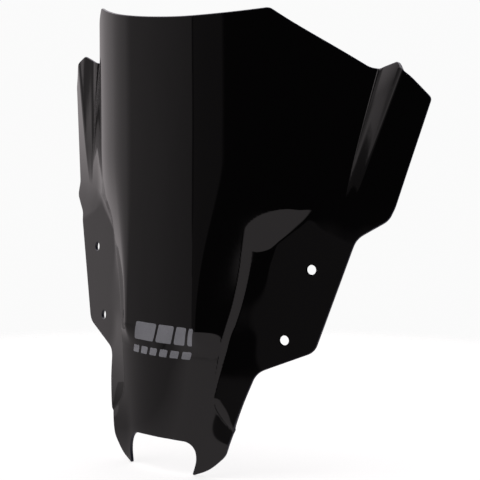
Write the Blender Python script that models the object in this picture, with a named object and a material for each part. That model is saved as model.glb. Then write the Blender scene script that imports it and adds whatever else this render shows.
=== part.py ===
"""Windshield screen for a touring motorcycle.

The screen is one sheet of dark smoked acrylic, formed hot to shape and then trimmed. It has
an upright middle, two sides that sweep back, a shallow flute inside each outer wing, two
recessed flat pads with the fixing holes, and a notched nose that ends in two horns. A small
graphic in cut vinyl pieces lies low on the front.

Lengths are in millimetres while the shapes are worked out: x from the middle plane, y back
from the horn tips, z up from the horn tips. The front looks along -y. Each finished piece is
moved so that the origin is the centre of the four fixing holes, and is stored in metres.
"""
import math

import bpy
import bmesh
from mathutils import Vector
from mathutils.geometry import delaunay_2d_cdt, intersect_point_line

MM = 0.001
SAME_PLACE = 1.0e-4

# The sheet.
THICKNESS = 3.0
TOP_EDGE_HEIGHT = 422.5
NOTCH_HEIGHT = 32.4

# The fixing holes, in pairs left and right. Their middle is the part's origin.
HOLE_RADIUS = 4.5
HOLE_MIDDLE_X = 124.8
HOLE_MIDDLE_HEIGHT = 163.3
HOLE_HALF_STEP_X = 10.4
HOLE_HALF_STEP_Z = 32.5

# The flat pads around the holes: depth at the holes' middle, and slopes outward and upward.
PAD_DEPTH = 44.1
PAD_SLOPE_X = 0.3625
PAD_SLOPE_Z = 0.0835

# The outer edge of each wing, a straight line through this point with these slopes by height.
WING_EDGE_X = 220.8
WING_EDGE_DEPTH = 108.9
WING_EDGE_HEIGHT = 342.0
WING_EDGE_LEAN_X = 0.249
WING_EDGE_LEAN_Y = 0.2075

# Lines that run up the sheet, as (height, value) points: how far back the middle is, the line
# where the recess starts, how high the step beside that line is, and the recess's outer line.
FRONT_DEPTH = ((0.0, -10.0), (31.0, -8.3), (75.0, -7.4), (125.0, -7.0), (275.0, -2.0),
               (430.0, -2.0))
STEP_LINE_X = ((46.0, 76.0), (54.0, 66.7), (66.0, 58.5), (78.0, 57.2), (109.0, 61.1), (134.0, 65.0),
               (162.0, 71.7), (193.0, 77.8), (224.0, 82.2), (240.0, 84.2))
STEP_HEIGHT = ((75.0, 0.0), (140.0, 7.9))
STEP_SLOPE = 2.0
SHELF_END_X = ((13.0, 61.6), (38.0, 75.0), (71.5, 84.8), (109.0, 91.7), (154.0, 93.2),
               (176.0, 94.7), (196.0, 96.1), (205.0, 98.6))
SHELF_END_DEPTH = ((13.0, 4.0), (38.0, 7.8), (71.5, 16.2), (109.0, 27.4), (154.0, 31.9),
                   (176.0, 34.3), (196.0, 36.4), (205.0, 38.1))
# The ramp that closes each recess at its top, as (x, height) points along its two edges.
RAMP_FOOT = ((82.0, 213.0), (92.0, 212.0), (100.0, 215.0), (120.0, 231.0), (130.0, 237.0),
             (150.0, 228.0), (172.0, 219.0), (185.0, 217.0))
RAMP_HEAD = ((82.0, 228.0), (84.0, 232.5), (93.0, 241.0), (103.0, 246.0), (115.0, 249.0),
             (126.0, 249.0), (150.0, 254.0), (185.0, 254.0))

# Cross-sections of the middle, as (x, slope) points with a straight change of slope between.
HORN_SECTION = ((20.0, 0.175), (40.0, 0.36), (50.0, 0.26), (80.0, 0.26), (150.0, 0.26))
NOSE_SECTION = ((20.0, 0.175), (45.0, 0.39), (60.0, 0.52), (80.0, 0.60), (150.0, 0.60))
CREASE_SECTION = ((41.0, 0.03), (47.0, 0.80), (60.0, 0.84), (133.0, 0.45), (150.0, 0.45))
UPPER_SECTION = ((38.0, 0.03), (69.0, 0.47), (80.0, 0.55), (133.0, 1.01), (150.0, 1.03))
HORN_TO_NOSE = (28.0, 84.0)
NOSE_TO_CREASE = (112.0, 137.0)
CREASE_TO_UPPER = (137.0, 300.0)

# Outside this line the middle's side runs straight to the wing's edge. Above the flute's foot the
# two part: the side and the wing each get steeper by so much per millimetre of height.
SIDE_BEND_X = 128.0
SIDE_BEND_ROUNDING = 16.0
FLUTE_FOOT = 255.0
SIDE_OPENING = 0.0031
WING_OPENING = 0.0017
# The flute's inner and outer lines, as x at the height below and its lean by height.
FLUTE_HEIGHT = 371.0
FLUTE_INNER = (173.4, 0.13)
FLUTE_OUTER = (202.0, 0.30)
NARROWEST_FLUTE = 6.0
SHORTEST_SHELF = 1.0
# How the flute crosses from the side to the wing, as (share of width, share of the way).
FLUTE_PROFILE = ((-0.1, 0.0), (0.0, 0.012), (0.1, 0.15), (0.25, 0.33), (0.5, 0.555),
                 (0.75, 0.775), (0.9, 0.92), (1.0, 0.985), (1.1, 1.0))

STEP_ROUNDING = 1.2
SHELF_ROUNDING = 1.0
RAMP_ROUNDING = 0.08

# The trimmed outline of the right half, seen from the front: (x, z, corner radius), from the
# middle of the top edge round to the middle of the notch.
OUTLINE = (
    (0.0, TOP_EDGE_HEIGHT, 0.0),
    (51.0, TOP_EDGE_HEIGHT, 620.0),
    (104.5, 430.8, 6.0),
    (172.2, 374.7, 12.0),
    (195.5, 383.2, 4.0),
    (208.5, 370.0, 40.0),
    (222.9, 350.6, 6.0),
    (196.0, 242.0, 13.0),
    (173.2, 225.8, 15.0),
    (142.0, 121.6, 14.0),
    (91.6, 99.7, 15.0),
    (70.6, 22.0, 18.0),
    (55.0, 7.2, 45.0),
    (38.6, 0.7, 1.2),
    (42.2, 15.0, 25.0),
    (39.6, 31.4, 13.0),
    (14.0, NOTCH_HEIGHT, 60.0),
    (0.0, NOTCH_HEIGHT, 0.0),
)

# Fineness of the mesh.
ARC_STEP = math.radians(18)
LONGEST_ARC_STEP = 14.0
LONGEST_RIM_STEP = 11.0
LARGEST_CELL = 32.0
SMALLEST_CELL = 4.0
FLATNESS = 0.30
MARK_FLATNESS = 0.12
MARK_ZONE_X = 52.0
MARK_ZONE_Z = (100.0, 146.0)
HOLE_SIDES = 24
SHARPEST_SMOOTH_EDGE = math.radians(40)

# The graphic: slanted bars over a row of short dashes, each a piece of vinyl.
MARK_MIDDLE_X = 3.0
MARK_SLANT = 0.28
VINYL_GAP = 0.3
VINYL_THICKNESS = 0.3
VINYL_CELL = 4.0
BAR_WIDTHS = (26.0, 19.0, 12.0, 5.0)
BAR_GAP = 3.0
BAR_BASE = 122.0
BAR_HEIGHT = 17.0
DASH_COUNT = 6
DASH_WIDTH = 9.0
DASH_GAP = 3.6
DASH_BASE = 109.0
DASH_HEIGHT = 7.0


def lerp(a, b, t):
    """Return the value a fraction t of the way from a to b."""
    return a + (b - a) * t


def smooth_step(start, end, value):
    """Return 0 before start, 1 after end, and an S-shaped rise between."""
    t = min(max((value - start) / (end - start), 0.0), 1.0)
    return t * t * (3.0 - 2.0 * t)


def soft_min(a, b, rounding):
    """Return the smaller value, rounded where the two are within rounding of each other."""
    overlap = max(rounding - abs(a - b), 0.0) / rounding
    return min(a, b) - overlap * overlap * rounding / 4.0


def soft_max(a, b, rounding):
    """Return the larger value, rounded where the two are within rounding of each other."""
    return -soft_min(-a, -b, rounding)


def straight(points, at):
    """Read a broken line through (position, value) points, level past its ends."""
    if at <= points[0][0]:
        return points[0][1]
    for (start, low), (end, high) in zip(points, points[1:]):
        if at <= end:
            return lerp(low, high, (at - start) / (end - start))
    return points[-1][1]


def curve(points, at):
    """Read a smooth curve through (position, value) points, straight past its ends."""
    spans = [(b[1] - a[1]) / (b[0] - a[0]) for a, b in zip(points, points[1:])]
    if at <= points[0][0]:
        return points[0][1] + spans[0] * (at - points[0][0])
    if at >= points[-1][0]:
        return points[-1][1] + spans[-1] * (at - points[-1][0])
    slopes = [spans[0]]
    for before, after in zip(points, points[2:]):
        slopes.append((after[1] - before[1]) / (after[0] - before[0]))
    slopes.append(spans[-1])
    index = max(k for k, point in enumerate(points[:-1]) if point[0] <= at)
    (start, low), (end, high) = points[index], points[index + 1]
    width = end - start
    t = (at - start) / width
    rise = low * (1.0 + 2.0 * t) * (1.0 - t) ** 2 + high * t * t * (3.0 - 2.0 * t)
    lean = slopes[index] * t * (1.0 - t) ** 2 - slopes[index + 1] * t * t * (1.0 - t)
    return rise + lean * width


def mix_sections(first, second, t):
    """Return the cross-section a fraction t of the way between two others."""
    return [(lerp(a[0], b[0], t), lerp(a[1], b[1], t)) for a, b in zip(first, second)]


def section_depth(section, x):
    """Return how far back a cross-section is at x, measured from its own middle."""
    depth = 0.0
    last_x, last_slope = 0.0, 0.0
    for next_x, next_slope in section:
        reach = min(x, next_x)
        slope = lerp(last_slope, next_slope, (reach - last_x) / (next_x - last_x))
        depth += (last_slope + slope) / 2.0 * (reach - last_x)
        if x <= next_x:
            return depth
        last_x, last_slope = next_x, next_slope
    return depth + last_slope * (x - last_x)


def middle_depth(x, z):
    """Return the depth of the upright middle and its sides."""
    nose = mix_sections(HORN_SECTION, NOSE_SECTION, smooth_step(*HORN_TO_NOSE, z))
    upper = mix_sections(CREASE_SECTION, UPPER_SECTION, smooth_step(*CREASE_TO_UPPER, z))
    above_crease = smooth_step(*NOSE_TO_CREASE, z)
    return curve(FRONT_DEPTH, z) + lerp(section_depth(nose, x), section_depth(upper, x), above_crease)


def flute_line(line, z):
    """Return where one of the flute's two lines is at a height."""
    return line[0] + line[1] * (z - FLUTE_HEIGHT)


def upper_depth(x, z):
    """Return the depth of the sheet above the recesses: the middle, the flute and the wing."""
    below = WING_EDGE_HEIGHT - z
    edge_x = WING_EDGE_X - WING_EDGE_LEAN_X * below
    edge_depth = WING_EDGE_DEPTH - WING_EDGE_LEAN_Y * below
    bend_depth = middle_depth(SIDE_BEND_X, z)
    slope = (edge_depth - bend_depth) / (edge_x - SIDE_BEND_X)
    opened = max(z - FLUTE_FOOT, 0.0)
    held = soft_min(x, SIDE_BEND_X, SIDE_BEND_ROUNDING)
    side = middle_depth(held, z) + (slope + SIDE_OPENING * opened) * (x - held)
    wing = edge_depth + (slope + WING_OPENING * opened) * (x - edge_x)
    inner_x = flute_line(FLUTE_INNER, z)
    across = (x - inner_x) / max(flute_line(FLUTE_OUTER, z) - inner_x, NARROWEST_FLUTE)
    across = min(max(across, FLUTE_PROFILE[0][0]), FLUTE_PROFILE[-1][0])
    return lerp(side, wing, curve(FLUTE_PROFILE, across))


def pad_depth(x, z):
    """Return the depth of the flat pad."""
    outward = PAD_SLOPE_X * (x - HOLE_MIDDLE_X)
    return PAD_DEPTH + outward + PAD_SLOPE_Z * (z - HOLE_MIDDLE_HEIGHT)


def recess_depth(x, z):
    """Return the depth of the recess: the step, the shelf beside it and then the flat pad."""
    step_x = curve(STEP_LINE_X, z)
    top = middle_depth(step_x, z)
    height = straight(STEP_HEIGHT, z)
    step = top + STEP_SLOPE * (x - step_x)
    foot_x = step_x + height / STEP_SLOPE
    run = max(curve(SHELF_END_X, z) - foot_x, SHORTEST_SHELF)
    shelf = top + height + (curve(SHELF_END_DEPTH, z) - top - height) / run * (x - foot_x)
    return soft_min(soft_min(step, shelf, SHELF_ROUNDING), pad_depth(x, z), SHELF_ROUNDING)


def sheet_depth(x, z):
    """Return how far back the sheet's front surface is."""
    x = abs(x)
    step_x = curve(STEP_LINE_X, z)
    along = min(max(x, RAMP_FOOT[0][0]), RAMP_FOOT[-1][0])
    foot = curve(RAMP_FOOT, along)
    climb = (z - foot) / (curve(RAMP_HEAD, along) - foot)
    climb = soft_max(soft_min(climb, 1.0, RAMP_ROUNDING), 0.0, RAMP_ROUNDING)
    beside_step = smooth_step(step_x - STEP_ROUNDING, step_x + STEP_ROUNDING, x)
    into_recess = beside_step * (1.0 - climb)
    if into_recess == 0.0:
        return upper_depth(x, z)
    return lerp(upper_depth(x, z), recess_depth(x, z), into_recess)


def sheet_point(x, z, forward=0.0):
    """Return a point of the front surface, moved forward along the surface's normal."""
    probe = 0.05
    slope_x = (sheet_depth(x + probe, z) - sheet_depth(x - probe, z)) / (2.0 * probe)
    slope_z = (sheet_depth(x, z + probe) - sheet_depth(x, z - probe)) / (2.0 * probe)
    normal = Vector((slope_x, -1.0, slope_z)).normalized()
    return Vector((x, sheet_depth(x, z), z)) + normal * forward


def round_corners(corners):
    """Return the outline's points, with an arc of the given radius in each corner."""
    points = [Vector(corners[0][:2])]
    for before, corner, after in zip(corners, corners[1:], corners[2:]):
        tip = Vector(corner[:2])
        to_last = (Vector(before[:2]) - tip).normalized()
        to_next = (Vector(after[:2]) - tip).normalized()
        half_angle = to_last.angle(to_next) / 2.0
        reach = corner[2] / math.tan(half_angle)
        centre = tip + (to_last + to_next).normalized() * (corner[2] / math.sin(half_angle))
        start = tip + to_last * reach - centre
        turn = to_last.angle_signed(-to_next)
        arc_length = abs(turn) * corner[2]
        steps = max(2, math.ceil(abs(turn) / ARC_STEP), math.ceil(arc_length / LONGEST_ARC_STEP))
        for step in range(steps + 1):
            angle = -turn * step / steps
            spoke = Vector((start.x * math.cos(angle) - start.y * math.sin(angle),
                            start.x * math.sin(angle) + start.y * math.cos(angle)))
            points.append(centre + spoke)
    points.append(Vector(corners[-1][:2]))
    return points


def shorten_runs(points, longest):
    """Return a closed loop's points, with points added where two are far apart."""
    full = []
    for start, end in zip(points, points[1:] + points[:1]):
        steps = max(1, math.ceil((end - start).length / longest))
        full += [start.lerp(end, step / steps) for step in range(steps)]
    return full


def hole_loop(side):
    """Return the rim of one fixing hole, a true circle on the pad, seen from the front."""
    centre_x = HOLE_MIDDLE_X + side * HOLE_HALF_STEP_X
    centre_z = HOLE_MIDDLE_HEIGHT + side * HOLE_HALF_STEP_Z
    normal = Vector((PAD_SLOPE_X, -1.0, PAD_SLOPE_Z)).normalized()
    across = Vector((0.0, 0.0, 1.0)).cross(normal).normalized()
    up = normal.cross(across)
    loop = []
    for step in range(HOLE_SIDES):
        angle = math.tau * step / HOLE_SIDES
        spoke = (across * math.cos(angle) + up * math.sin(angle)) * HOLE_RADIUS
        loop.append(Vector((centre_x + spoke.x, centre_z + spoke.z)))
    return loop


def is_inside(point, loop):
    """Say whether a point is inside a closed loop."""
    inside = False
    for a, b in zip(loop, loop[1:] + loop[:1]):
        if (a.y > point.y) != (b.y > point.y):
            crossing = a.x + (point.y - a.y) / (b.y - a.y) * (b.x - a.x)
            inside ^= point.x < crossing
    return inside


def clearance(point, loop):
    """Return how far a point is from a closed loop."""
    nearest = math.inf
    for a, b in zip(loop, loop[1:] + loop[:1]):
        foot, fraction = intersect_point_line(point, a, b)
        foot = Vector(foot[:2]) if 0.0 < fraction < 1.0 else (a if fraction <= 0.0 else b)
        nearest = min(nearest, (foot - point).length)
    return nearest


def add_cell(x, z, size, found):
    """Add the corners of a square cell, or of its quarters where the sheet bends in it."""
    half = size / 2.0
    corners = [(x, z), (x + size, z), (x, z + size), (x + size, z + size)]
    depths = [sheet_depth(*corner) for corner in corners]
    tests = (
        (x + half, z + half, sum(depths) / 4.0),
        (x + half, z, (depths[0] + depths[1]) / 2.0),
        (x + half, z + size, (depths[2] + depths[3]) / 2.0),
        (x, z + half, (depths[0] + depths[2]) / 2.0),
        (x + size, z + half, (depths[1] + depths[3]) / 2.0),
    )
    near_mark = x < MARK_ZONE_X and z < MARK_ZONE_Z[1] and z + size > MARK_ZONE_Z[0]
    limit = MARK_FLATNESS if near_mark else FLATNESS
    bent = any(abs(sheet_depth(tx, tz) - flat) > limit for tx, tz, flat in tests)
    if bent and size > SMALLEST_CELL:
        for corner_x in (x, x + half):
            for corner_z in (z, z + half):
                add_cell(corner_x, corner_z, half, found)
        return
    for corner in corners:
        found[corner] = min(size, found.get(corner, size))


def half_triangles():
    """Return the right half's points and triangles, seen from the front."""
    rim = shorten_runs(round_corners(OUTLINE), LONGEST_RIM_STEP)
    loops = [rim, hole_loop(-1), hole_loop(1)]
    found = {}
    for column in range(math.ceil(WING_EDGE_X / LARGEST_CELL) + 1):
        for row in range(math.ceil(TOP_EDGE_HEIGHT / LARGEST_CELL) + 1):
            add_cell(column * LARGEST_CELL, row * LARGEST_CELL, LARGEST_CELL, found)
    points = [point for loop in loops for point in loop]
    for (x, z), size in sorted(found.items()):
        point = Vector((x, z))
        if x == 0.0 or not is_inside(point, rim):
            continue
        room = min(size / 2.0, LONGEST_RIM_STEP / 2.0)
        if min(clearance(point, loop) for loop in loops) > room:
            points.append(point)
    faces = []
    first = 0
    for loop in loops:
        faces.append(list(range(first, first + len(loop))))
        first += len(loop)
    edges = [(a, b) for face in faces for a, b in zip(face, face[1:] + face[:1])]
    flat, _, triangles, *_ = delaunay_2d_cdt(points, edges, [], 1, SAME_PLACE)
    kept = []
    for triangle in triangles:
        middle = sum((flat[index] for index in triangle), Vector((0.0, 0.0))) / len(triangle)
        in_hole = is_inside(middle, loops[1]) or is_inside(middle, loops[2])
        if is_inside(middle, rim) and not in_hole:
            kept.append(tuple(triangle))
    return flat, kept


def new_material(name, color, roughness, metallic):
    """Make a plain Principled material."""
    material = bpy.data.materials.new(name)
    material.use_nodes = True
    shader = material.node_tree.nodes["Principled BSDF"]
    shader.inputs["Base Color"].default_value = (*color, 1.0)
    shader.inputs["Roughness"].default_value = roughness
    shader.inputs["Metallic"].default_value = metallic
    return material


def add_solid(name, work, material):
    """Move a finished shape to the part's origin, store it in metres and add its object."""
    origin = Vector((0.0, PAD_DEPTH, HOLE_MIDDLE_HEIGHT))
    bmesh.ops.translate(work, verts=work.verts, vec=-origin)
    bmesh.ops.scale(work, verts=work.verts, vec=(MM, MM, MM))
    bmesh.ops.triangulate(work, faces=[face for face in work.faces if len(face.verts) > 3])
    bmesh.ops.recalc_face_normals(work, faces=work.faces)
    mesh = bpy.data.meshes.new(name)
    work.to_mesh(mesh)
    work.free()
    mesh.materials.append(material)
    mesh.shade_smooth()
    mesh.set_sharp_from_angle(angle=SHARPEST_SMOOTH_EDGE)
    bpy.context.scene.collection.objects.link(bpy.data.objects.new(name, mesh))


def thicken(work, faces, fronts, backs):
    """Make a closed solid: front faces, the same faces at the back, and a wall between."""
    border = {}
    for face in faces:
        work.faces.new([fronts[index] for index in face])
        work.faces.new([backs[index] for index in reversed(face)])
        for a, b in zip(face, face[1:] + face[:1]):
            if (b, a) in border:
                del border[(b, a)]
            else:
                border[(a, b)] = True
    for a, b in border:
        work.faces.new((fronts[b], fronts[a], backs[a], backs[b]))


def build_shell(material):
    """Make the sheet from its right half and the half's mirror image."""
    flat, triangles = half_triangles()
    work = bmesh.new()
    places = {}
    fronts = []
    backs = []
    faces = []
    for side in (1.0, -1.0):
        numbers = []
        for point in flat:
            x = 0.0 if abs(point.x) < SAME_PLACE else side * point.x
            key = (round(x, 4), round(point.y, 4))
            if key not in places:
                places[key] = len(fronts)
                fronts.append(work.verts.new(sheet_point(x, point.y)))
                backs.append(work.verts.new(sheet_point(x, point.y, -THICKNESS)))
            numbers.append(places[key])
        for triangle in triangles:
            face = tuple(numbers[index] for index in triangle)
            faces.append(face if side > 0 else face[::-1])
    thicken(work, faces, fronts, backs)
    loose = [vert for vert in work.verts if not vert.link_faces]
    bmesh.ops.delete(work, geom=loose, context="VERTS")
    add_solid("screen_shell", work, material)


def build_vinyl(name, left, width, base, height, material):
    """Make one slanted piece of vinyl that follows the sheet just in front of it."""
    columns = max(2, math.ceil(width / VINYL_CELL))
    rows = max(2, math.ceil(height / VINYL_CELL))
    work = bmesh.new()
    fronts = []
    backs = []
    for row in range(rows + 1):
        z = base + height * row / rows
        lean = MARK_SLANT * (z - BAR_BASE)
        for column in range(columns + 1):
            x = left + width * column / columns + lean
            backs.append(work.verts.new(sheet_point(x, z, VINYL_GAP)))
            fronts.append(work.verts.new(sheet_point(x, z, VINYL_GAP + VINYL_THICKNESS)))
    faces = []
    for row in range(rows):
        for column in range(columns):
            corner = row * (columns + 1) + column
            above = corner + columns + 1
            faces.append((corner, corner + 1, above + 1, above))
    thicken(work, faces, fronts, backs)
    add_solid(name, work, material)


def build_mark(material):
    """Make the graphic: a row of slanted bars, and a row of dashes under it."""
    left = MARK_MIDDLE_X - (sum(BAR_WIDTHS) + BAR_GAP * (len(BAR_WIDTHS) - 1)) / 2.0
    for number, width in enumerate(BAR_WIDTHS, 1):
        build_vinyl(f"mark_bar_{number}", left, width, BAR_BASE, BAR_HEIGHT, material)
        left += width + BAR_GAP
    left = MARK_MIDDLE_X - (DASH_COUNT * (DASH_WIDTH + DASH_GAP) - DASH_GAP) / 2.0
    for number in range(1, DASH_COUNT + 1):
        build_vinyl(f"mark_dash_{number}", left, DASH_WIDTH, DASH_BASE, DASH_HEIGHT, material)
        left += DASH_WIDTH + DASH_GAP


for item in list(bpy.data.objects):
    bpy.data.objects.remove(item)

build_shell(new_material("smoked_acrylic", (0.006, 0.005, 0.006), 0.06, 0.0))
build_mark(new_material("silver_vinyl", (0.42, 0.44, 0.47), 0.35, 0.6))
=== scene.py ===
"""Looks for the windshield screen: a fine glossy sheet and its vinyl mark in a pale studio.

The sheet's shape repeats the part's own: lengths are in millimetres while it is worked out,
with x from the middle plane, y back from the horn tips and z up from the horn tips. Finished
pieces are moved so that the origin is the centre of the four fixing holes, in metres.
"""

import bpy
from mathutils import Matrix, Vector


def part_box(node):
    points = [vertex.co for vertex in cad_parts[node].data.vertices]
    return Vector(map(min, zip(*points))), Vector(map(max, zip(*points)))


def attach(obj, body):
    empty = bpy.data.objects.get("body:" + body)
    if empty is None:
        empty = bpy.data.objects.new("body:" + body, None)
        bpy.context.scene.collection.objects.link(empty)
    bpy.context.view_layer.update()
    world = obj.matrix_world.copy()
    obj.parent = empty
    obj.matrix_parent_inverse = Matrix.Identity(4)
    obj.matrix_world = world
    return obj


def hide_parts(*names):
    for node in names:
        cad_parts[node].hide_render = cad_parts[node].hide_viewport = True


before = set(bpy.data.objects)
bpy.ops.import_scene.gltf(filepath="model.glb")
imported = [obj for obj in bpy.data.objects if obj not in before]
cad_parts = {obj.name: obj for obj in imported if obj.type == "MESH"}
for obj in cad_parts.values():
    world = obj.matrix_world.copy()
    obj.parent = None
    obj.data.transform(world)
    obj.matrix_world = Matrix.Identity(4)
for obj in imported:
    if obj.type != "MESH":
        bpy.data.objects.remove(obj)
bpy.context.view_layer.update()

import math

import bpy
import numpy as np
from mathutils import Matrix, Vector
from mathutils.geometry import delaunay_2d_cdt
from mathutils.kdtree import KDTree

MM = 0.001

# The sheet.
THICKNESS = 3.0
TOP_EDGE_HEIGHT = 422.5
NOTCH_HEIGHT = 32.4
EDGE_ROUNDING = 0.8
HOLE_ROUNDING = 0.35

# The fixing holes, in pairs left and right. Their middle is the part's origin.
HOLE_RADIUS = 4.5
HOLE_MIDDLE_X = 124.8
HOLE_MIDDLE_HEIGHT = 163.3
HOLE_HALF_STEP_X = 10.4
HOLE_HALF_STEP_Z = 32.5

# The flat pads around the holes: depth at the holes' middle, and slopes outward and upward.
PAD_DEPTH = 44.1
PAD_SLOPE_X = 0.3625
PAD_SLOPE_Z = 0.0835

# The outer edge of each wing, a straight line through this point with these slopes by height.
WING_EDGE_X = 220.8
WING_EDGE_DEPTH = 108.9
WING_EDGE_HEIGHT = 342.0
WING_EDGE_LEAN_X = 0.249
WING_EDGE_LEAN_Y = 0.2075

# Lines that run up the sheet, as (height, value) points: how far back the middle is, the line
# where the recess starts, how high the step beside that line is, and the recess's outer line.
FRONT_DEPTH = ((0.0, -10.0), (31.0, -8.3), (75.0, -7.4), (125.0, -7.0), (275.0, -2.0),
               (430.0, -2.0))
STEP_LINE_X = ((46.0, 76.0), (54.0, 66.7), (66.0, 58.5), (78.0, 57.2), (109.0, 61.1), (134.0, 65.0),
               (162.0, 71.7), (193.0, 77.8), (224.0, 82.2), (240.0, 84.2))
STEP_HEIGHT = ((75.0, 0.0), (140.0, 7.9))
STEP_SLOPE = 2.0
SHELF_END_X = ((13.0, 61.6), (38.0, 75.0), (71.5, 84.8), (109.0, 91.7), (154.0, 93.2),
               (176.0, 94.7), (196.0, 96.1), (205.0, 98.6))
SHELF_END_DEPTH = ((13.0, 4.0), (38.0, 7.8), (71.5, 16.2), (109.0, 27.4), (154.0, 31.9),
                   (176.0, 34.3), (196.0, 36.4), (205.0, 38.1))
# The ramp that closes each recess at its top, as (x, height) points along its two edges.
RAMP_FOOT = ((82.0, 213.0), (92.0, 212.0), (100.0, 215.0), (120.0, 231.0), (130.0, 237.0),
             (150.0, 228.0), (172.0, 219.0), (185.0, 217.0))
RAMP_HEAD = ((82.0, 228.0), (84.0, 232.5), (93.0, 241.0), (103.0, 246.0), (115.0, 249.0),
             (126.0, 249.0), (150.0, 254.0), (185.0, 254.0))

# Cross-sections of the middle, as (x, slope) points with a straight change of slope between.
HORN_SECTION = ((20.0, 0.175), (40.0, 0.36), (50.0, 0.26), (80.0, 0.26), (150.0, 0.26))
NOSE_SECTION = ((20.0, 0.175), (45.0, 0.39), (60.0, 0.52), (80.0, 0.60), (150.0, 0.60))
CREASE_SECTION = ((41.0, 0.03), (47.0, 0.80), (60.0, 0.84), (133.0, 0.45), (150.0, 0.45))
UPPER_SECTION = ((38.0, 0.03), (69.0, 0.47), (80.0, 0.55), (133.0, 1.01), (150.0, 1.03))
HORN_TO_NOSE = (28.0, 84.0)
NOSE_TO_CREASE = (112.0, 137.0)
CREASE_TO_UPPER = (137.0, 300.0)

# Outside this line the middle's side runs straight to the wing's edge. Above the flute's foot the
# two part: the side and the wing each get steeper by so much per millimetre of height.
SIDE_BEND_X = 128.0
SIDE_BEND_ROUNDING = 16.0
FLUTE_FOOT = 255.0
SIDE_OPENING = 0.0031
WING_OPENING = 0.0017
# The flute's inner and outer lines, as x at the height below and its lean by height.
FLUTE_HEIGHT = 371.0
FLUTE_INNER = (173.4, 0.13)
FLUTE_OUTER = (202.0, 0.30)
NARROWEST_FLUTE = 6.0
SHORTEST_SHELF = 1.0
# How the flute crosses from the side to the wing, as (share of width, share of the way).
FLUTE_PROFILE = ((-0.1, 0.0), (0.0, 0.012), (0.1, 0.15), (0.25, 0.33), (0.5, 0.555),
                 (0.75, 0.775), (0.9, 0.92), (1.0, 0.985), (1.1, 1.0))

STEP_ROUNDING = 1.2
SHELF_ROUNDING = 1.0
RAMP_ROUNDING = 0.08

# The trimmed outline of the right half, seen from the front: (x, z, corner radius), from the
# middle of the top edge round to the middle of the notch.
OUTLINE = (
    (0.0, TOP_EDGE_HEIGHT, 0.0),
    (51.0, TOP_EDGE_HEIGHT, 620.0),
    (104.5, 430.8, 6.0),
    (172.2, 374.7, 12.0),
    (195.5, 383.2, 4.0),
    (208.5, 370.0, 40.0),
    (222.9, 350.6, 6.0),
    (196.0, 242.0, 13.0),
    (173.2, 225.8, 15.0),
    (142.0, 121.6, 14.0),
    (91.6, 99.7, 15.0),
    (70.6, 22.0, 18.0),
    (55.0, 7.2, 45.0),
    (38.6, 0.7, 1.2),
    (42.2, 15.0, 25.0),
    (39.6, 31.4, 13.0),
    (14.0, NOTCH_HEIGHT, 60.0),
    (0.0, NOTCH_HEIGHT, 0.0),
)

# The graphic: slanted bars over a row of short dashes, each a piece of vinyl.
MARK_MIDDLE_X = 3.0
MARK_SLANT = 0.28
VINYL_GAP = 0.05
VINYL_THICKNESS = 0.15
VINYL_ROUNDING = 0.05
BAR_WIDTHS = (26.0, 19.0, 12.0, 5.0)
BAR_GAP = 3.0
BAR_BASE = 122.0
BAR_HEIGHT = 17.0
BAR_CORNER = 1.6
DASH_COUNT = 6
DASH_WIDTH = 9.0
DASH_GAP = 3.6
DASH_BASE = 109.0
DASH_HEIGHT = 7.0
DASH_CORNER = 1.0

# Fineness of the meshes.
SHEET_CELL = 2.2
SHARPEST_TURN = 0.09
VINYL_CELL = 1.2
LONGEST_RIM_STEP = 2.0
SLOPE_PROBE = 0.05
# The least distance from a rim to an inner point, as a share of the cell, whole or split.
WHOLE_CELL_ROOM = 0.6
SPLIT_CELL_ROOM = 0.2
ARC_STEP = math.radians(9)
HOLE_SIDES = 64
ROUNDING_STEPS = 4

# The camera and its place, in metres.
CAMERA_PLACE = Vector((1.1247, -1.2594, 0.2511))
CAMERA_AZIMUTH = math.radians(40.3)
CAMERA_ELEVATION = math.radians(6.8)
CAMERA_LENS = 135.0
SENSOR_WIDTH = 36.0

# The studio: how bright it is by compass angle, as (degrees, brightness) points, at the camera's
# level and higher up. The front of the screen looks towards 0, and the angle grows towards the
# screen's right side. The values were fitted by trial so that the sheet's reflections resemble
# the real screen's, and the narrow dark stops near -36 degrees make its one thin dark line.
STUDIO = ((-180.0, 0.40), (-135.0, 0.40), (-126.0, 0.36), (-118.0, 0.45), (-100.0, 0.50),
          (-90.0, 0.51), (-60.0, 0.56), (-47.0, 0.36), (-40.0, 0.24), (-37.5, 0.22),
          (-37.0, 0.02), (-35.5, 0.02), (-35.0, 0.10), (7.0, 0.10), (10.0, 0.02), (70.0, 0.02),
          (95.0, 0.25), (180.0, 0.40))
STUDIO_HIGH = ((-180.0, 0.30), (-110.0, 0.40), (-85.0, 1.00), (-66.0, 1.40), (-56.0, 0.35),
               (-46.0, 0.35), (-38.0, 0.50), (-30.0, 0.75), (-20.0, 0.90), (-12.0, 0.20),
               (-5.0, 0.15), (8.0, 0.10), (14.0, 0.02), (75.0, 0.02), (180.0, 0.30))
STUDIO_OVERHEAD = ((-180.0, 2.00), (-30.0, 2.00), (-12.0, 0.60), (-5.0, 0.20), (8.0, 0.10),
                   (14.0, 0.02), (75.0, 0.02), (180.0, 0.30))
# The rise of a direction is the upward part of its unit vector.
HIGH_RISE = (0.05, 0.30)
OVERHEAD_RISE = (0.32, 0.40)
UNDER_RISE = (-0.38, -0.29)
UNDER_LEVEL = 0.53
FLOOR_FADE = (0.68, 0.80)
# The soft light is faintly warm, as red, green and blue shares.
LIGHT_TINT = (1.05, 0.97, 0.99)
BACKGROUND = 0.96
# A disc light overhead: its width and height in metres, and its power.
TOP_LIGHT_SIZE = 1.6
TOP_LIGHT_HEIGHT = 1.8
TOP_LIGHT_POWER = 26.0

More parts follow.
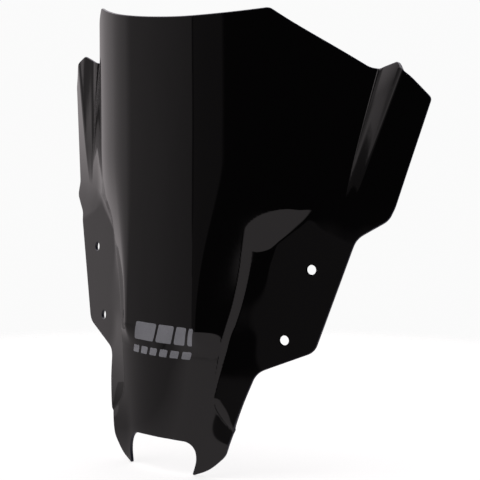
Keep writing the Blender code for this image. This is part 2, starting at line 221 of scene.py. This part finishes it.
# The floor: its sides and rings, how far it is below the horns, how much of what the camera
# sees is lit by the studio, and what the sheet reflects of it, from left to right: painted light
# that stands in for how the floor is lit, darker towards the left as painted shade.
FLOOR_SIDES = 96
FLOOR_RINGS = (0.5, 0.9)
FLOOR_DROP = 0.0005
FLOOR_LIT_SHARE = 0.25
FLOOR_PALE = (0.95, 0.95, 0.95, 1.0)
FLOOR_PAINTED_LIGHT_SPAN = (-0.22, -0.06)
FLOOR_PAINTED_LIGHT = (0.30, 0.56)

ACRYLIC_IOR = 1.49


def lerp(a, b, t):
    """Return the value a fraction t of the way from a to b."""
    return a + (b - a) * t


def smooth_step(start, end, value):
    """Return 0 before start, 1 after end, and an S-shaped rise between."""
    t = np.clip((value - start) / (end - start), 0.0, 1.0)
    return t * t * (3.0 - 2.0 * t)


def soft_min(a, b, rounding):
    """Return the smaller value, rounded where the two are within rounding of each other."""
    overlap = np.maximum(rounding - np.abs(a - b), 0.0) / rounding
    return np.minimum(a, b) - overlap * overlap * rounding / 4.0


def soft_max(a, b, rounding):
    """Return the larger value, rounded where the two are within rounding of each other."""
    return -soft_min(-a, -b, rounding)


def straight(points, at):
    """Read a broken line through (position, value) points, level past its ends."""
    positions, values = zip(*points)
    return np.interp(at, positions, values)


def curve(points, at):
    """Read a smooth curve through (position, value) points, straight past its ends."""
    places, values = np.array(points).T
    spans = np.diff(values) / np.diff(places)
    inner = (values[2:] - values[:-2]) / (places[2:] - places[:-2])
    slopes = np.concatenate((spans[:1], inner, spans[-1:]))
    held = np.clip(at, places[0], places[-1])
    index = np.clip(np.searchsorted(places, held, side="right") - 1, 0, len(spans) - 1)
    width = places[index + 1] - places[index]
    t = (held - places[index]) / width
    rise = values[index] * (1.0 + 2.0 * t) * (1.0 - t) ** 2
    rise += values[index + 1] * t * t * (3.0 - 2.0 * t)
    lean = slopes[index] * t * (1.0 - t) ** 2 - slopes[index + 1] * t * t * (1.0 - t)
    past = at - held
    return rise + lean * width + past * np.where(past < 0.0, spans[0], spans[-1])


def mix_sections(first, second, t):
    """Return the cross-section a fraction t of the way between two others."""
    return [(lerp(a[0], b[0], t), lerp(a[1], b[1], t)) for a, b in zip(first, second)]


def section_depth(section, x):
    """Return how far back a cross-section is at x, measured from its own middle."""
    depth = np.zeros_like(x)
    last_x, last_slope = 0.0, 0.0
    for next_x, next_slope in section:
        reach = np.clip(x, last_x, next_x)
        slope = lerp(last_slope, next_slope, (reach - last_x) / (next_x - last_x))
        depth = depth + (last_slope + slope) / 2.0 * (reach - last_x)
        last_x, last_slope = next_x, next_slope
    return depth + last_slope * np.maximum(x - last_x, 0.0)


def middle_depth(x, z):
    """Return the depth of the upright middle and its sides."""
    nose = mix_sections(HORN_SECTION, NOSE_SECTION, smooth_step(*HORN_TO_NOSE, z))
    upper = mix_sections(CREASE_SECTION, UPPER_SECTION, smooth_step(*CREASE_TO_UPPER, z))
    above_crease = smooth_step(*NOSE_TO_CREASE, z)
    return curve(FRONT_DEPTH, z) + lerp(section_depth(nose, x), section_depth(upper, x), above_crease)


def upper_depth(x, z):
    """Return the depth of the sheet above the recesses: the middle, the flute and the wing."""
    below = WING_EDGE_HEIGHT - z
    edge_x = WING_EDGE_X - WING_EDGE_LEAN_X * below
    edge_depth = WING_EDGE_DEPTH - WING_EDGE_LEAN_Y * below
    bend_depth = middle_depth(np.full_like(x, SIDE_BEND_X), z)
    slope = (edge_depth - bend_depth) / (edge_x - SIDE_BEND_X)
    opened = np.maximum(z - FLUTE_FOOT, 0.0)
    held = soft_min(x, SIDE_BEND_X, SIDE_BEND_ROUNDING)
    side = middle_depth(held, z) + (slope + SIDE_OPENING * opened) * (x - held)
    wing = edge_depth + (slope + WING_OPENING * opened) * (x - edge_x)
    inner_x, outer_x = (line[0] + line[1] * (z - FLUTE_HEIGHT) for line in (FLUTE_INNER, FLUTE_OUTER))
    across = (x - inner_x) / np.maximum(outer_x - inner_x, NARROWEST_FLUTE)
    share = curve(FLUTE_PROFILE, np.clip(across, FLUTE_PROFILE[0][0], FLUTE_PROFILE[-1][0]))
    return lerp(side, wing, share)


def pad_depth(x, z):
    """Return the depth of the flat pad."""
    outward = PAD_SLOPE_X * (x - HOLE_MIDDLE_X)
    return PAD_DEPTH + outward + PAD_SLOPE_Z * (z - HOLE_MIDDLE_HEIGHT)


def recess_depth(x, z):
    """Return the depth of the recess: the step, the shelf beside it and then the flat pad."""
    step_x = curve(STEP_LINE_X, z)
    top = middle_depth(step_x, z)
    height = straight(STEP_HEIGHT, z)
    step = top + STEP_SLOPE * (x - step_x)
    foot_x = step_x + height / STEP_SLOPE
    run = np.maximum(curve(SHELF_END_X, z) - foot_x, SHORTEST_SHELF)
    shelf = top + height + (curve(SHELF_END_DEPTH, z) - top - height) / run * (x - foot_x)
    return soft_min(soft_min(step, shelf, SHELF_ROUNDING), pad_depth(x, z), SHELF_ROUNDING)


def sheet_depth(x, z):
    """Return how far back the sheet's front surface is."""
    x = np.abs(x)
    step_x = curve(STEP_LINE_X, z)
    along = np.clip(x, RAMP_FOOT[0][0], RAMP_FOOT[-1][0])
    foot = curve(RAMP_FOOT, along)
    climb = (z - foot) / (curve(RAMP_HEAD, along) - foot)
    climb = soft_max(soft_min(climb, 1.0, RAMP_ROUNDING), 0.0, RAMP_ROUNDING)
    beside_step = smooth_step(step_x - STEP_ROUNDING, step_x + STEP_ROUNDING, x)
    return lerp(upper_depth(x, z), recess_depth(x, z), beside_step * (1.0 - climb))


def sheet_frame(flat):
    """Return the front surface's points, normals and slopes at flat (x, z) points."""
    x, z = flat.T
    probe = SLOPE_PROBE
    slope_x = (sheet_depth(x + probe, z) - sheet_depth(x - probe, z)) / (2.0 * probe)
    slope_z = (sheet_depth(x, z + probe) - sheet_depth(x, z - probe)) / (2.0 * probe)
    normals = np.column_stack((slope_x, -np.ones_like(x), slope_z))
    normals /= np.linalg.norm(normals, axis=1)[:, None]
    points = np.column_stack((x, sheet_depth(x, z), z))
    return points, normals, np.column_stack((slope_x, slope_z))


def round_corners(corners):
    """Return the outline's points, with an arc of the given radius in each corner."""
    points = [Vector(corners[0][:2])]
    for before, corner, after in zip(corners, corners[1:], corners[2:]):
        tip = Vector(corner[:2])
        to_last = (Vector(before[:2]) - tip).normalized()
        to_next = (Vector(after[:2]) - tip).normalized()
        half_angle = to_last.angle(to_next) / 2.0
        reach = corner[2] / math.tan(half_angle)
        centre = tip + (to_last + to_next).normalized() * (corner[2] / math.sin(half_angle))
        start = tip + to_last * reach - centre
        turn = to_last.angle_signed(-to_next)
        arc_length = abs(turn) * corner[2]
        steps = max(3, math.ceil(abs(turn) / ARC_STEP), math.ceil(arc_length / LONGEST_RIM_STEP))
        for step in range(steps + 1):
            angle = -turn * step / steps
            spoke = Vector((start.x * math.cos(angle) - start.y * math.sin(angle),
                            start.x * math.sin(angle) + start.y * math.cos(angle)))
            points.append(centre + spoke)
    points.append(Vector(corners[-1][:2]))
    return points


def shorten_runs(points, longest):
    """Return a closed loop's points, with points added where two are far apart."""
    full = []
    for start, end in zip(points, points[1:] + points[:1]):
        steps = max(1, math.ceil((end - start).length / longest))
        full += [start.lerp(end, step / steps) for step in range(steps)]
    return full


def whole_rim():
    """Return the sheet's whole outline as a closed loop of flat points."""
    right = round_corners(OUTLINE)
    left = [Vector((-point.x, point.y)) for point in reversed(right[1:-1])]
    return np.array([point[:] for point in shorten_runs(right + left, LONGEST_RIM_STEP)])


def hole_loop(side, end):
    """Return the rim of one fixing hole, a true circle on the pad, seen from the front."""
    centre = Vector((HOLE_MIDDLE_X + end * HOLE_HALF_STEP_X,
                     HOLE_MIDDLE_HEIGHT + end * HOLE_HALF_STEP_Z))
    normal = Vector((PAD_SLOPE_X, -1.0, PAD_SLOPE_Z)).normalized()
    across = Vector((0.0, 0.0, 1.0)).cross(normal).normalized()
    up = normal.cross(across)
    loop = []
    for step in range(HOLE_SIDES):
        angle = -math.tau * step / HOLE_SIDES
        spoke = (across * math.cos(angle) + up * math.sin(angle)) * HOLE_RADIUS
        loop.append((side * (centre.x + spoke.x), centre.y + spoke.z))
    return np.array(loop)


def outward_of(loop, inner):
    """Return each loop point's flat direction away from the material."""
    along = np.roll(loop, -1, axis=0) - np.roll(loop, 1, axis=0)
    across = np.column_stack((along[:, 1], -along[:, 0]))
    across /= np.linalg.norm(across, axis=1)[:, None]
    x, z = loop.T
    area = np.sum(x * np.roll(z, -1) - np.roll(x, -1) * z)
    away = across if area > 0.0 else -across
    return -away if inner else away


def inside(points, loop):
    """Say which points are inside a closed loop."""
    result = np.zeros(len(points), bool)
    x, z = points.T
    for a, b in zip(loop, np.roll(loop, -1, axis=0)):
        if a[1] == b[1]:
            continue
        crosses = (a[1] > z) != (b[1] > z)
        crossing = a[0] + (z - a[1]) / (b[1] - a[1]) * (b[0] - a[0])
        result ^= crosses & (x < crossing)
    return result


def bending(flat, cell):
    """Return how far the sheet's normal turns across a cell around each flat point."""
    turns = []
    for half in ((cell / 2.0, 0.0), (0.0, cell / 2.0)):
        ahead = sheet_frame(flat + half)[1]
        behind = sheet_frame(flat - half)[1]
        turns.append(np.linalg.norm(ahead - behind, axis=1))
    return np.maximum(*turns)


def filled(loops, cell):
    """Return flat points and triangles that fill the first loop and leave the others open.

    Cells where the sheet bends sharply are split into nine.
    """
    rim = np.concatenate(loops)
    low = loops[0].min(axis=0)
    high = loops[0].max(axis=0)
    middle = (low + high) / 2.0
    counts = np.ceil((high - middle) / cell).astype(int)
    across = middle[0] + cell * np.arange(-counts[0], counts[0] + 1)
    up = middle[1] + cell * np.arange(-counts[1], counts[1] + 1)
    grid = np.array(np.meshgrid(across, up)).reshape(2, -1).T
    grid = grid[inside(grid, loops[0])]
    sharp = bending(grid, 2.0 * cell) > SHARPEST_TURN
    thirds = cell / 3.0 * np.arange(-1, 2)
    parts = np.array(np.meshgrid(thirds, thirds)).reshape(2, -1).T
    split = (grid[sharp][:, None, :] + parts).reshape(-1, 2)
    room = np.concatenate((np.full(len(grid) - sharp.sum(), WHOLE_CELL_ROOM * cell),
                           np.full(len(split), SPLIT_CELL_ROOM * cell)))
    grid = np.concatenate((grid[~sharp], split))
    keep = inside(grid, loops[0])
    for loop in loops[1:]:
        keep &= ~inside(grid, loop)
    near = KDTree(len(rim))
    for index, point in enumerate(rim):
        near.insert((*point, 0.0), index)
    near.balance()
    inner = [point for point, gap in zip(grid[keep], room[keep]) if near.find((*point, 0.0))[2] > gap]
    edges = []
    first = 0
    for loop in loops:
        count = len(loop)
        edges += [(first + k, first + (k + 1) % count) for k in range(count)]
        first += count
    points = [Vector(point) for point in np.concatenate((rim, inner))]
    flat, _, faces, *_ = delaunay_2d_cdt(points, edges, [], 1, 1.0e-6)
    flat = np.array([point[:] for point in flat])
    faces = np.array([face for face in faces if len(face) == 3])
    middles = flat[faces].mean(axis=1)
    kept = inside(middles, loops[0])
    for loop in loops[1:]:
        kept &= ~inside(middles, loop)
    return flat, faces[kept]


def slab(name, loops, front, back, rounding, cell, surface, edge):
    """Make a solid that follows the sheet between two heights above its front surface.

    The first loop is the outside and the others are holes. rounding holds each loop's edge
    radius. The faces on the edges take the second material.
    """
    outwards = [outward_of(loop, index > 0) for index, loop in enumerate(loops)]
    inset = [loop - outward * radius for loop, outward, radius in zip(loops, outwards, rounding)]
    flat, faces = filled(inset, cell)
    points, normals, _ = sheet_frame(flat)
    count = len(flat)
    places = [points + normals * front, points + normals * back]
    shading = [normals, -normals]
    triangles = np.concatenate((faces, faces[:, ::-1] + count))
    total = 2 * count
    quads = []
    first = 0
    for loop, outward, radius in zip(loops, outwards, rounding):
        size = len(loop)
        ring = np.arange(first, first + size)
        first += size
        rings = [ring]
        angles = np.linspace(0.0, math.pi / 2.0, ROUNDING_STEPS + 1)
        for at_back, turns in ((False, angles[1:]), (True, angles[::-1][:-1])):
            for angle in turns:
                shift = radius * (1.0 - math.sin(angle))
                sink = radius * (1.0 - math.cos(angle))
                spots, lifted, slopes = sheet_frame(loop - outward * shift)
                height = back + sink if at_back else front - sink
                away = np.column_stack((outward[:, 0], (slopes * outward).sum(axis=1), outward[:, 1]))
                away -= lifted * (away * lifted).sum(axis=1)[:, None]
                away /= np.linalg.norm(away, axis=1)[:, None]
                facing = -lifted if at_back else lifted
                places.append(spots + lifted * height)
                shading.append(facing * math.cos(angle) + away * math.sin(angle))
                rings.append(np.arange(total, total + size))
                total += size
        rings.append(ring + count)
        for upper, lower in zip(rings, rings[1:]):
            quads.append(np.column_stack((upper, lower, np.roll(lower, -1), np.roll(upper, -1))))
    quads = np.concatenate(quads)
    places = np.concatenate(places)
    shading = np.concatenate(shading)
    a, b, c = (places[triangles[0, k]] for k in range(3))
    if np.dot(np.cross(b - a, c - a), shading[triangles[0, 0]]) < 0.0:
        triangles = triangles[:, ::-1]
    wall = quads[0]
    a, b, c = (places[wall[k]] for k in (0, 1, 3))
    if np.dot(np.cross(b - a, c - a), shading[wall[1]]) < 0.0:
        quads = quads[:, ::-1]
    origin = np.array((0.0, PAD_DEPTH, HOLE_MIDDLE_HEIGHT))
    mesh = bpy.data.meshes.new(name)
    mesh.from_pydata(((places - origin) * MM).tolist(), [], triangles.tolist() + quads.tolist())
    mesh.materials.append(surface)
    mesh.materials.append(edge)
    slots = np.zeros(len(mesh.polygons), np.int32)
    slots[len(triangles):] = 1
    mesh.polygons.foreach_set("material_index", slots)
    mesh.shade_smooth()
    mesh.normals_split_custom_set_from_vertices(shading.tolist())
    piece = bpy.data.objects.new(name, mesh)
    bpy.context.scene.collection.objects.link(piece)
    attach(piece, "root")
    return piece


def add(nodes, kind, **settings):
    """Add a shader node, and set its sockets and properties by name."""
    node = nodes.new(kind)
    for key, value in settings.items():
        if key in node.inputs.keys():
            node.inputs[key].default_value = value
        else:
            setattr(node, key, value)
    return node


def new_material(name):
    """Make an empty node material and return it with its nodes, links and Principled shader."""
    material = bpy.data.materials.new(name)
    material.use_nodes = True
    tree = material.node_tree
    return material, tree.nodes, tree.links, tree.nodes["Principled BSDF"]


def smoked_acrylic():
    """Polished dark smoked acrylic: faint forming waves, wiping marks and a little dust."""
    material, nodes, links, shader = new_material("smoked_acrylic")
    shader.inputs["Base Color"].default_value = (0.0012, 0.0011, 0.0013, 1.0)
    shader.inputs["IOR"].default_value = ACRYLIC_IOR
    place = add(nodes, "ShaderNodeTexCoord")
    stretch = add(nodes, "ShaderNodeMapping", Scale=(1.0, 1.0, 0.35))
    links.new(place.outputs["Object"], stretch.inputs["Vector"])
    waves = add(nodes, "ShaderNodeTexNoise", Scale=24.0, Detail=2.0, Roughness=0.4)
    links.new(stretch.outputs["Vector"], waves.inputs["Vector"])
    smears = add(nodes, "ShaderNodeTexNoise", Scale=26.0, Detail=6.0, Roughness=0.6, Distortion=1.2)
    links.new(place.outputs["Object"], smears.inputs["Vector"])
    gloss = add(nodes, "ShaderNodeMapRange")
    gloss.inputs["From Min"].default_value = 0.35
    gloss.inputs["From Max"].default_value = 0.75
    gloss.inputs["To Min"].default_value = 0.035
    gloss.inputs["To Max"].default_value = 0.085
    links.new(smears.outputs["Fac"], gloss.inputs["Value"])
    links.new(gloss.outputs["Result"], shader.inputs["Roughness"])
    bump = add(nodes, "ShaderNodeBump", Strength=0.3, Distance=0.0006)
    links.new(waves.outputs["Fac"], bump.inputs["Height"])
    links.new(bump.outputs["Normal"], shader.inputs["Normal"])
    return material


def cut_edge():
    """The trimmed edge: sanded smooth, with fine marks across it and a bluish cast."""
    material, nodes, links, shader = new_material("cut_edge")
    shader.inputs["Base Color"].default_value = (0.006, 0.008, 0.02, 1.0)
    shader.inputs["IOR"].default_value = ACRYLIC_IOR
    place = add(nodes, "ShaderNodeTexCoord")
    marks = add(nodes, "ShaderNodeTexNoise", Scale=900.0, Detail=3.0, Roughness=0.7)
    links.new(place.outputs["Object"], marks.inputs["Vector"])
    gloss = add(nodes, "ShaderNodeMapRange")
    gloss.inputs["To Min"].default_value = 0.18
    gloss.inputs["To Max"].default_value = 0.42
    links.new(marks.outputs["Fac"], gloss.inputs["Value"])
    links.new(gloss.outputs["Result"], shader.inputs["Roughness"])
    bump = add(nodes, "ShaderNodeBump", Strength=0.25, Distance=0.00005)
    links.new(marks.outputs["Fac"], bump.inputs["Height"])
    links.new(bump.outputs["Normal"], shader.inputs["Normal"])
    return material


def silver_vinyl():
    """Silver grey vinyl film: a fine metallic grain with a satin sheen."""
    material, nodes, links, shader = new_material("silver_vinyl")
    shader.inputs["Metallic"].default_value = 0.6
    place = add(nodes, "ShaderNodeTexCoord")
    grain = add(nodes, "ShaderNodeTexNoise", Scale=2600.0, Detail=2.0, Roughness=0.6)
    links.new(place.outputs["Object"], grain.inputs["Vector"])
    tint = add(nodes, "ShaderNodeValToRGB")
    tint.color_ramp.elements[0].position = 0.3
    tint.color_ramp.elements[0].color = (0.20, 0.21, 0.23, 1.0)
    tint.color_ramp.elements[1].position = 0.7
    tint.color_ramp.elements[1].color = (0.40, 0.42, 0.45, 1.0)
    links.new(grain.outputs["Fac"], tint.inputs["Fac"])
    links.new(tint.outputs["Color"], shader.inputs["Base Color"])
    gloss = add(nodes, "ShaderNodeMapRange")
    gloss.inputs["To Min"].default_value = 0.30
    gloss.inputs["To Max"].default_value = 0.50
    links.new(grain.outputs["Fac"], gloss.inputs["Value"])
    links.new(gloss.outputs["Result"], shader.inputs["Roughness"])
    bump = add(nodes, "ShaderNodeBump", Strength=0.2, Distance=0.00002)
    links.new(grain.outputs["Fac"], bump.inputs["Height"])
    links.new(bump.outputs["Normal"], shader.inputs["Normal"])
    return material


def build_shell():
    """Replace the plain sheet with the fine one."""
    holes = [hole_loop(side, end) for side in (-1, 1) for end in (-1, 1)]
    rounding = [EDGE_ROUNDING] + [HOLE_ROUNDING] * len(holes)
    shell = slab("screen_sheet", [whole_rim()] + holes, 0.0, -THICKNESS, rounding, SHEET_CELL,
                 smoked_acrylic(), cut_edge())
    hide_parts("screen_shell")


def build_vinyl(name, left, width, base, height, corner, material):
    """Make one slanted piece of vinyl with round corners, close to the sheet's front."""
    lean = MARK_SLANT * (base - BAR_BASE)
    rise = MARK_SLANT * height
    middle = left + lean + (width + rise) / 2.0
    corners = ((middle, base, 0.0),
               (left + lean + width, base, corner),
               (left + lean + width + rise, base + height, corner),
               (left + lean + rise, base + height, corner),
               (left + lean, base, corner),
               (middle, base, 0.0))
    loop = shorten_runs(round_corners(corners)[:-1], VINYL_CELL)
    outline = np.array([point[:] for point in loop])
    top = VINYL_GAP + VINYL_THICKNESS
    piece = slab(f"{name}_film", [outline], top, VINYL_GAP, [VINYL_ROUNDING], VINYL_CELL,
                 material, material)
    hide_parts(name)


def build_mark():
    """Replace the graphic's plain pieces: a row of slanted bars, and dashes under it."""
    material = silver_vinyl()
    left = MARK_MIDDLE_X - (sum(BAR_WIDTHS) + BAR_GAP * (len(BAR_WIDTHS) - 1)) / 2.0
    for number, width in enumerate(BAR_WIDTHS, 1):
        build_vinyl(f"mark_bar_{number}", left, width, BAR_BASE, BAR_HEIGHT, BAR_CORNER, material)
        left += width + BAR_GAP
    left = MARK_MIDDLE_X - (DASH_COUNT * (DASH_WIDTH + DASH_GAP) - DASH_GAP) / 2.0
    for number in range(1, DASH_COUNT + 1):
        build_vinyl(f"mark_dash_{number}", left, DASH_WIDTH, DASH_BASE, DASH_HEIGHT, DASH_CORNER,
                    material)
        left += DASH_WIDTH + DASH_GAP


def build_floor():
    """Make the pale floor under the horns, a disc that fades out into the background.

    The camera sees an even pale ground. Every other ray, and so the sheet's reflection of the
    floor, meets FLOOR_PAINTED_LIGHT instead: painted light, an emission that stands in for how the
    floor is lit, darker towards the left as painted shade.
    """
    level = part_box("screen_shell")[0].z - FLOOR_DROP
    sides = FLOOR_SIDES
    places = [(0.0, 0.0, level)]
    faces = []
    for number, radius in enumerate(FLOOR_RINGS):
        first = len(places)
        for side in range(sides):
            angle = math.tau * side / sides
            places.append((radius * math.cos(angle), radius * math.sin(angle), level))
        for side in range(sides):
            after = (side + 1) % sides
            if number == 0:
                faces.append((0, first + side, first + after))
            else:
                faces.append((first - sides + side, first + side, first + after, first - sides + after))
    mesh = bpy.data.meshes.new("floor")
    mesh.from_pydata(places, [], faces)
    material, nodes, links, shader = new_material("floor")
    nodes.remove(shader)
    place = add(nodes, "ShaderNodeTexCoord")
    length = add(nodes, "ShaderNodeVectorMath", operation="LENGTH")
    links.new(place.outputs["Object"], length.inputs[0])
    fade = add(nodes, "ShaderNodeMapRange", interpolation_type="SMOOTHSTEP")
    fade.inputs["From Min"].default_value = FLOOR_FADE[0]
    fade.inputs["From Max"].default_value = FLOOR_FADE[1]
    links.new(length.outputs["Value"], fade.inputs["Value"])
    seen = add(nodes, "ShaderNodeLightPath")
    bright = add(nodes, "ShaderNodeBsdfDiffuse", Color=FLOOR_PALE)
    paper = add(nodes, "ShaderNodeEmission", Color=(BACKGROUND, BACKGROUND, BACKGROUND, 1.0))
    pale = add(nodes, "ShaderNodeMixShader")
    pale.inputs[0].default_value = FLOOR_LIT_SHARE
    links.new(paper.outputs[0], pale.inputs[1])
    links.new(bright.outputs[0], pale.inputs[2])
    # Painted light: every ray but the camera's meets an emission here, darker towards the left as
    # painted shade, in place of the floor's own lighting.
    sides_of = add(nodes, "ShaderNodeSeparateXYZ")
    links.new(place.outputs["Object"], sides_of.inputs[0])
    painted_floor_light = blend(nodes, links, sides_of.outputs["X"], FLOOR_PAINTED_LIGHT_SPAN, *FLOOR_PAINTED_LIGHT)
    painted_floor_glow = add(nodes, "ShaderNodeEmission")
    links.new(painted_floor_light, painted_floor_glow.inputs["Color"])
    tone = add(nodes, "ShaderNodeMixShader")
    links.new(seen.outputs["Is Camera Ray"], tone.inputs[0])
    links.new(painted_floor_glow.outputs[0], tone.inputs[1])
    links.new(pale.outputs[0], tone.inputs[2])
    clear = add(nodes, "ShaderNodeBsdfTransparent")
    mix = add(nodes, "ShaderNodeMixShader")
    links.new(fade.outputs["Result"], mix.inputs[0])
    links.new(tone.outputs[0], mix.inputs[1])
    links.new(clear.outputs[0], mix.inputs[2])
    links.new(mix.outputs[0], nodes["Material Output"].inputs["Surface"])
    mesh.materials.append(material)
    floor = bpy.data.objects.new("floor", mesh)
    bpy.context.scene.collection.objects.link(floor)


def ramp_of(nodes, links, turn, points):
    """Add a colour ramp through (degrees, brightness) points, and return its colour."""
    panels = add(nodes, "ShaderNodeValToRGB")
    stops = panels.color_ramp.elements
    for number, (degrees, level) in enumerate(points):
        spot = (degrees + 180.0) / 360.0
        if number == 0:
            stop = stops[0]
        elif number == len(points) - 1:
            stop = stops[-1]
        else:
            stop = stops.new(spot)
        stop.position = spot
        stop.color = (*(level * share for share in LIGHT_TINT), 1.0)
    links.new(turn, panels.inputs["Fac"])
    return panels.outputs["Color"]


def blend(nodes, links, value, span, low, high):
    """Blend from low to high as the value crosses the span, and return the colour."""
    share = add(nodes, "ShaderNodeMapRange", interpolation_type="LINEAR")
    share.inputs["From Min"].default_value = span[0]
    share.inputs["From Max"].default_value = span[1]
    links.new(value, share.inputs["Value"])
    mix = add(nodes, "ShaderNodeMix", data_type="RGBA")
    links.new(share.outputs["Result"], mix.inputs[0])
    for socket, tone in ((mix.inputs[6], low), (mix.inputs[7], high)):
        if isinstance(tone, float):
            socket.default_value = (*(tone * share for share in LIGHT_TINT), 1.0)
        else:
            links.new(tone, socket)
    return mix.outputs[2]


def build_studio():
    """Light the object by the fitted ramps and a disc overhead.

    The camera itself sees a plain pale background and not the ramps.
    """
    world = bpy.data.worlds.new("studio")
    world.use_nodes = True
    bpy.context.scene.world = world
    nodes = world.node_tree.nodes
    links = world.node_tree.links
    place = add(nodes, "ShaderNodeTexCoord")
    axes = add(nodes, "ShaderNodeSeparateXYZ")
    links.new(place.outputs["Generated"], axes.inputs[0])
    back = add(nodes, "ShaderNodeMath", operation="MULTIPLY")
    links.new(axes.outputs["Y"], back.inputs[0])
    back.inputs[1].default_value = -1.0
    angle = add(nodes, "ShaderNodeMath", operation="ARCTAN2")
    links.new(axes.outputs["X"], angle.inputs[0])
    links.new(back.outputs[0], angle.inputs[1])
    turn = add(nodes, "ShaderNodeMapRange")
    turn.inputs["From Min"].default_value = -math.pi
    turn.inputs["From Max"].default_value = math.pi
    links.new(angle.outputs[0], turn.inputs["Value"])
    level = ramp_of(nodes, links, turn.outputs["Result"], STUDIO)
    high = ramp_of(nodes, links, turn.outputs["Result"], STUDIO_HIGH)
    raised = blend(nodes, links, axes.outputs["Z"], HIGH_RISE, level, high)
    overhead = ramp_of(nodes, links, turn.outputs["Result"], STUDIO_OVERHEAD)
    above = blend(nodes, links, axes.outputs["Z"], OVERHEAD_RISE, raised, overhead)
    around = blend(nodes, links, axes.outputs["Z"], UNDER_RISE, UNDER_LEVEL, above)
    seen = add(nodes, "ShaderNodeLightPath")
    shown = add(nodes, "ShaderNodeMix", data_type="RGBA")
    links.new(seen.outputs["Is Camera Ray"], shown.inputs[0])
    links.new(around, shown.inputs[6])
    shown.inputs[7].default_value = (BACKGROUND, BACKGROUND, BACKGROUND, 1.0)
    links.new(shown.outputs[2], nodes["Background"].inputs["Color"])

    light = bpy.data.lights.new("soft_top", "AREA")
    light.shape = "DISK"
    light.size = TOP_LIGHT_SIZE
    light.energy = TOP_LIGHT_POWER
    top = bpy.data.objects.new("soft_top", light)
    top.location = (0.0, 0.0, TOP_LIGHT_HEIGHT)
    bpy.context.scene.collection.objects.link(top)


def build_camera():
    """Look at the screen from its front right, a little above it."""
    camera = bpy.data.cameras.new("camera")
    camera.lens = CAMERA_LENS
    camera.sensor_width = SENSOR_WIDTH
    holder = bpy.data.objects.new("camera", camera)
    flat = math.cos(CAMERA_ELEVATION)
    towards = Vector((math.sin(CAMERA_AZIMUTH) * flat, -math.cos(CAMERA_AZIMUTH) * flat,
                      math.sin(CAMERA_ELEVATION)))
    facing = towards.to_track_quat("Z", "Y").to_matrix().to_4x4()
    holder.matrix_world = Matrix.Translation(CAMERA_PLACE) @ facing
    bpy.context.scene.collection.objects.link(holder)
    bpy.context.scene.camera = holder


build_shell()
build_mark()
build_floor()
build_studio()
build_camera()
bpy.context.scene.view_settings.view_transform = "Standard"
